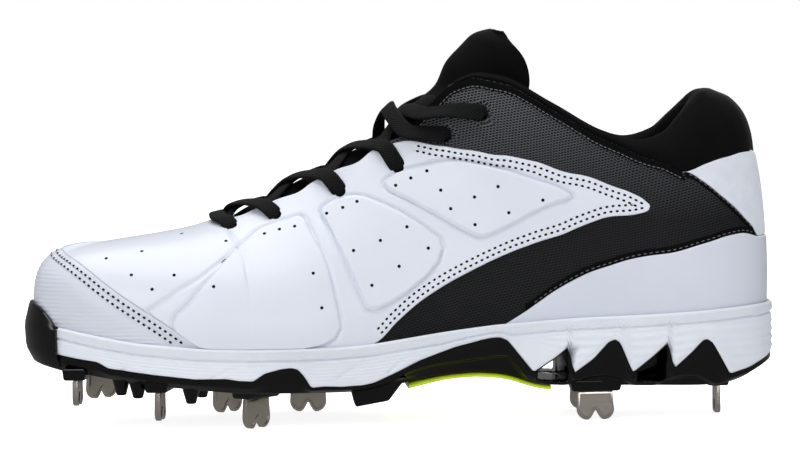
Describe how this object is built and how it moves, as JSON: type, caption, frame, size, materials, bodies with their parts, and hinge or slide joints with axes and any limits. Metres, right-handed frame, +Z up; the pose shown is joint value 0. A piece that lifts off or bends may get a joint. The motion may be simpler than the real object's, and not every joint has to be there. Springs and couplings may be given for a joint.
{
  "type": "baseball cleat",
  "caption": "Right-foot metal-spiked baseball shoe: hollow laced upper, padded collar and tongue, foam midsole and moulded plate with blade spikes.",
  "frame": {"origin": "centre of the shoe's bounding box, on the ground plane that the spikes stand on", "axes": "+X towards the heel, +Y towards the outer (lateral) side, +Z up"},
  "size_m": [0.302, 0.1048, 0.1566],
  "materials": {
    "upper_leather": "coated, satin, black mesh at the quarter",
    "overlay_white": "coated, satin, stitched at its edges",
    "toe_cap_white": "satin with fine raised lines",
    "counter_white": "coated, satin",
    "collar_fabric": "padded knit",
    "tongue_fabric": "padded knit",
    "lace": "flat woven",
    "insole_fabric": "brushed",
    "foam": "moulded foam, satin, fine ribs",
    "plate": "glossy moulded",
    "strip": "glossy moulded",
    "toe_rubber": "glossy moulded",
    "steel": "stamped, polished"
  },
  "bodies": {
    "root": {"upper": "upper_leather", "vamp_overlay": "overlay_white", "toe_cap": "toe_cap_white", "heel_counter": "counter_white", "collar": "collar_fabric", "tongue": "tongue_fabric", "laces": "lace", "insole": "insole_fabric", "midsole": "foam", "outsole_plate": "plate", "shank_strip": "strip", "toe_guard": "toe_rubber", "spike_toe_medial": "steel", "spike_toe_lateral": "steel", "spike_ball_medial": "steel", "spike_ball_lateral": "steel", "spike_waist_medial": "steel", "spike_waist_lateral": "steel", "spike_heel_medial": "steel", "spike_heel_lateral": "steel", "spike_heel_rear": "steel"}
  },
  "joints": []
}
